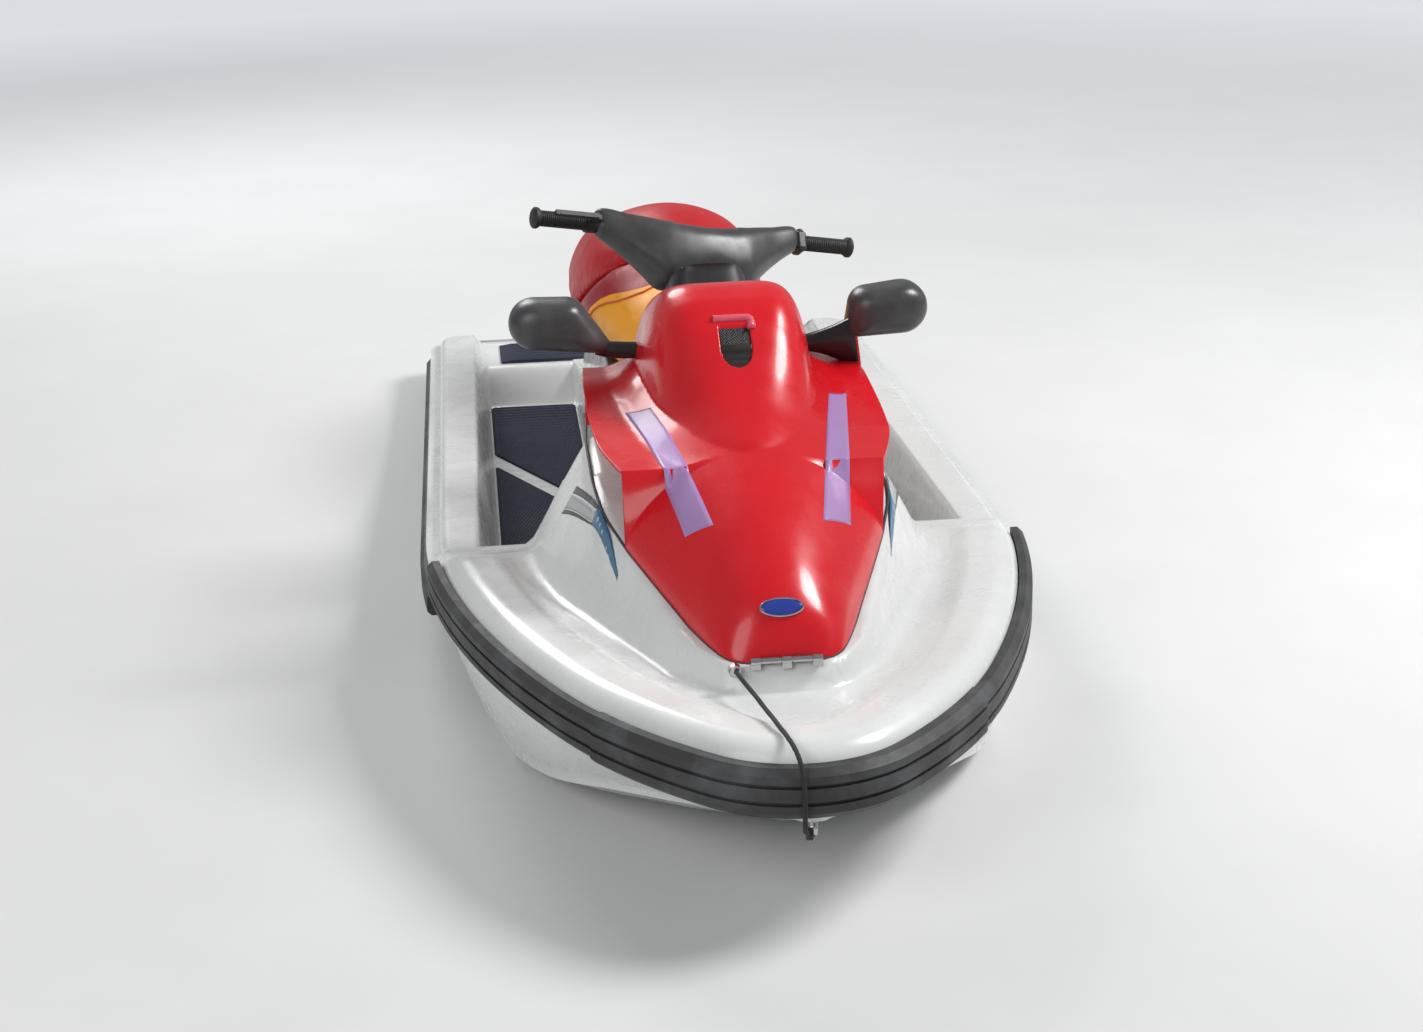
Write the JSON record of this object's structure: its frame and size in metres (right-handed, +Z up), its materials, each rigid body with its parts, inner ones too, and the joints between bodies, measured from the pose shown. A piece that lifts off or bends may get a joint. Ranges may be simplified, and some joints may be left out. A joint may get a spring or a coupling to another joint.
{
  "type": "personal watercraft",
  "caption": "Jet-driven personal watercraft afloat: hinged hood, turning handlebar, lift-off seat, footwells, mirrors and a jet pump with steering nozzle and reverse bucket.",
  "frame": {"origin": "on the waterline, on the centre line, midway between bow and stern", "axes": "+Z up, bow towards -Y, port towards +X"},
  "size_m": [1.2, 3.0965, 1.0642],
  "materials": {
    "gelcoat_white": "gloss gelcoat",
    "gelcoat_red": "gloss gelcoat",
    "black_plastic": "satin moulded plastic",
    "bumper_rubber": "matt extruded rubber",
    "mat_foam": "ribbed foam",
    "seat_vinyl": "grained vinyl",
    "mirror_glass": "mirror",
    "mesh_dark": "moulded mesh",
    "badge_blue": "gloss",
    "stainless": "brushed",
    "pump_alloy": "cast, anodised",
    "bar_steel": "satin black",
    "engine_paint": "satin grey",
    "rope_white": "braided line"
  },
  "bodies": {
    "hull": {"hull": "gelcoat_white", "deck": "gelcoat_white", "coaming": "gelcoat_white", "pedestal": "gelcoat_white", "steering_cowl": "black_plastic", "shift_lever": "black_plastic", "drain_plugs": "black_plastic", "line_grommet": "black_plastic", "sponson_port": "black_plastic", "sponson_starboard": "black_plastic", "bumper_bow": "bumper_rubber", "bumper_port": "bumper_rubber", "bumper_starboard": "bumper_rubber", "rub_rail_port": "bumper_rubber", "rub_rail_starboard": "bumper_rubber", "platform_mat": "mat_foam", "mat_front_port": "mat_foam", "mat_front_starboard": "mat_foam", "mat_rear_port": "mat_foam", "mat_rear_starboard": "mat_foam", "hinge_base": "stainless", "bow_eye": "stainless", "stern_eyes": "stainless", "pump_plate": "pump_alloy", "pump_ring": "pump_alloy", "pump_housing": "pump_alloy", "bucket_brackets": "pump_alloy", "intake_grate": "pump_alloy", "ride_plate": "pump_alloy", "engine_block": "engine_paint", "bow_line": "rope_white", "line_knot": "rope_white"},
    "hood": {"hood": "gelcoat_red", "vent_mesh": "mesh_dark", "badge": "badge_blue", "hinge_arms": "stainless", "mirror_port": "black_plastic", "mirror_starboard": "black_plastic", "mirror_glass_port": "mirror_glass", "mirror_glass_starboard": "mirror_glass", "mirror_stalk_port": "black_plastic", "mirror_stalk_starboard": "black_plastic"},
    "steering": {"handlebar": "bar_steel", "handlebar_pad": "black_plastic", "steering_boot": "black_plastic", "throttle_lever": "black_plastic", "switch_box": "black_plastic", "grip_port": "bumper_rubber", "grip_starboard": "bumper_rubber"},
    "seat": {"seat_base": "black_plastic", "seat_front": "seat_vinyl", "seat_rear": "seat_vinyl", "grab_handle": "bar_steel"},
    "impeller": {"drive_shaft": "stainless", "impeller": "stainless"},
    "nozzle": {"steering_nozzle": "pump_alloy"},
    "bucket": {"reverse_bucket": "pump_alloy"}
  },
  "joints": [
    {"name": "hood_hinge", "type": "hinge", "parent": "hull", "child": "hood", "pos_m": [0, -1.275, 0.33583], "axis": [1, 0, 0], "range_deg": [0, 45]},
    {"name": "steering_turn", "type": "hinge", "parent": "hull", "child": "steering", "pos_m": [0, -0.027, 0.737], "axis": [0, 0.5736, 0.8192], "range_deg": [-48, 8]},
    {"name": "seat_lift", "type": "slide", "parent": "hull", "child": "seat", "axis": [0, 0.82, 0.5724], "range_m": [0, 0.3]},
    {"name": "impeller_spin", "type": "hinge", "parent": "hull", "child": "impeller", "pos_m": [0, 1.1, -0.105], "axis": [0, 1, 0], "continuous": true},
    {"name": "nozzle_turn", "type": "hinge", "parent": "hull", "child": "nozzle", "pos_m": [0, 1.392, -0.105], "axis": [0, 0, 1], "range_deg": [-6.5, 38]},
    {"name": "bucket_swing", "type": "hinge", "parent": "hull", "child": "bucket", "pos_m": [0, 1.392, -0.105], "axis": [1, 0, 0], "range_deg": [-78, 0]}
  ],
  "couplings": [
    {"joint": "nozzle_turn", "follows": "steering_turn", "ratio": -0.78571}
  ]
}
